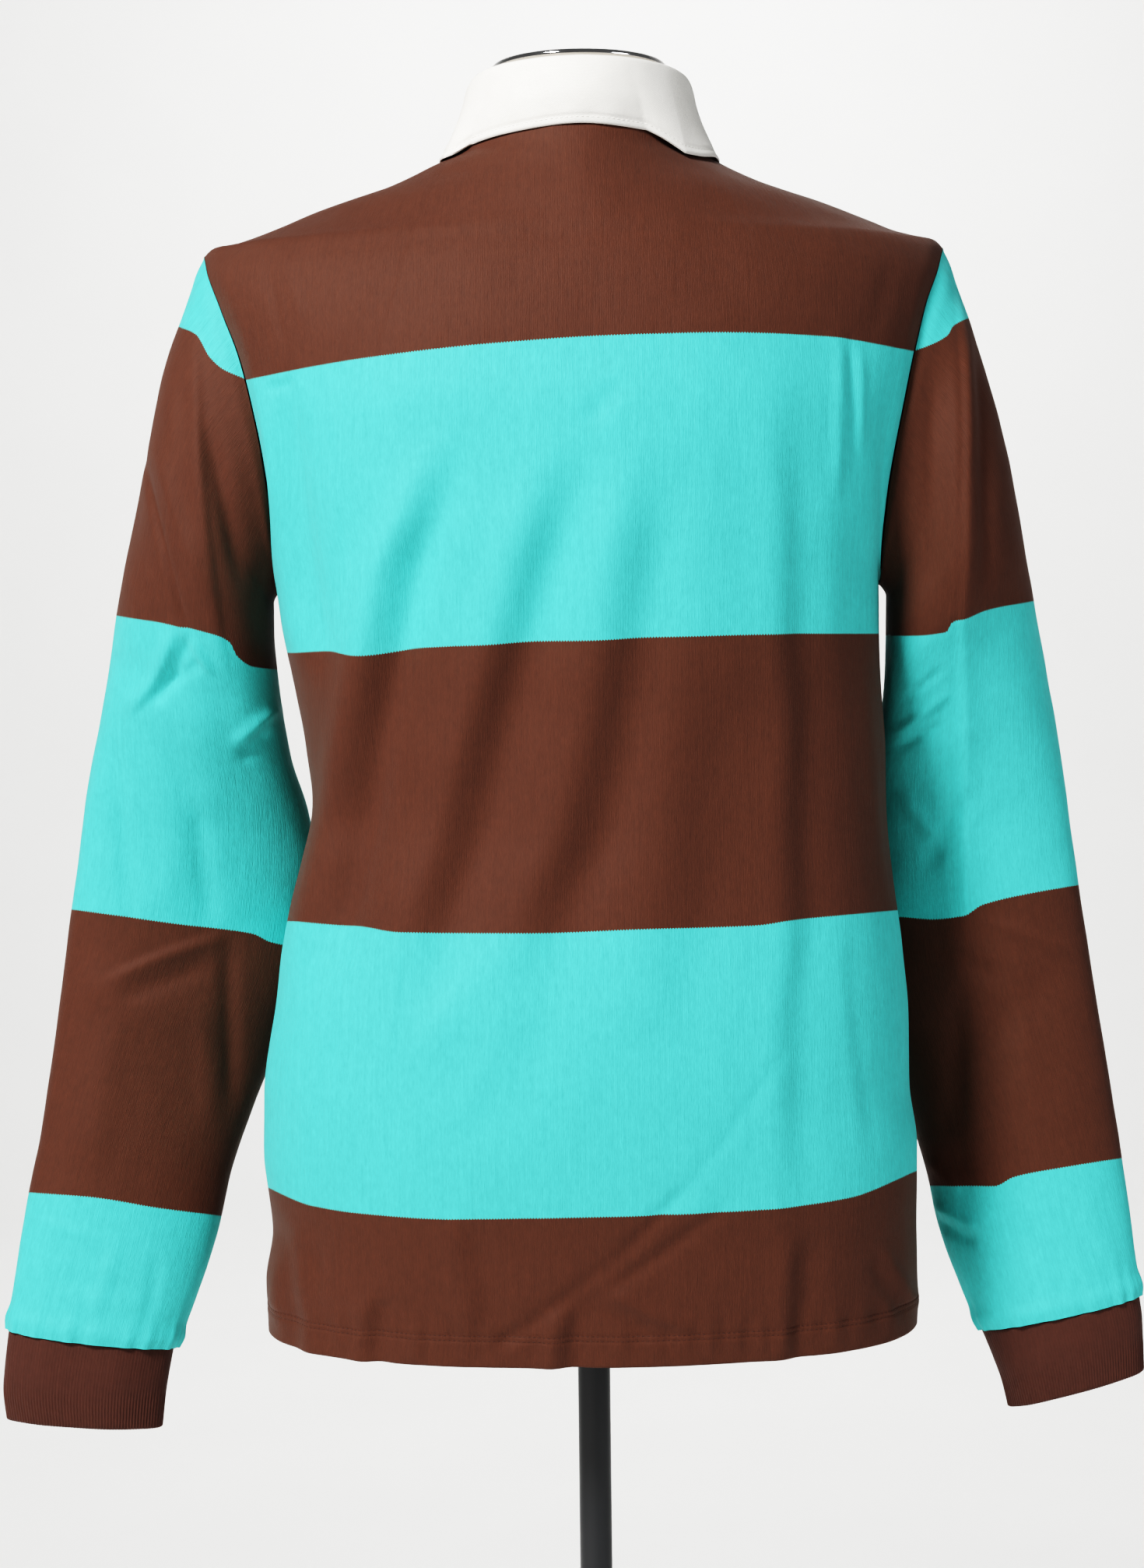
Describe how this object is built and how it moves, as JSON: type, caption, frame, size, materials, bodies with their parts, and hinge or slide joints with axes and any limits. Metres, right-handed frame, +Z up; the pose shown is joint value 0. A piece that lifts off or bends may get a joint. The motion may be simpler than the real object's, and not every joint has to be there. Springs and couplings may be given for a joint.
{
  "type": "long-sleeve rugby polo shirt on a limbless dress form with a height-adjustable stand",
  "caption": "Striped long-sleeve rugby polo shirt with a turned-down collar and ribbed cuffs, worn by a limbless dress form on a round-based telescopic stand.",
  "frame": {"origin": "centre of the base plate's underside, on the floor below the mast", "axes": "+Z up along the mast; the shirt's front faces -Y and its back +Y; the wearer's left is +X"},
  "size_m": [0.7213, 0.34, 1.524],
  "materials": {
    "brown_jersey": "matt knitted cotton with wide stripes",
    "turquoise_jersey": "matt knitted cotton with wide stripes",
    "brown_rib": "matt ribbed knit",
    "white_twill": "matt cotton twill",
    "white_button": "satin",
    "beige_linen": "matt woven linen",
    "chrome": "polished",
    "black_metal": "satin black"
  },
  "bodies": {
    "stand": {"base_plate": "black_metal", "stand_tube": "black_metal", "lock_collar": "chrome"},
    "form": {"back_panel": "brown_jersey", "front_panel": "brown_jersey", "sleeve_left": "turquoise_jersey", "sleeve_right": "turquoise_jersey", "cuff_left": "brown_rib", "cuff_right": "brown_rib", "collar_fall": "white_twill", "collar_stand": "white_twill", "placket_top": "white_twill", "placket_under": "white_twill", "button_1": "white_button", "button_2": "white_button", "button_3": "white_button", "form_torso": "beige_linen", "neck_cap": "chrome", "pole": "black_metal"}
  },
  "joints": [
    {"name": "mast_height", "type": "slide", "parent": "stand", "child": "form", "axis": [0, 0, 1], "range_m": [-0.12, 0.15]}
  ]
}
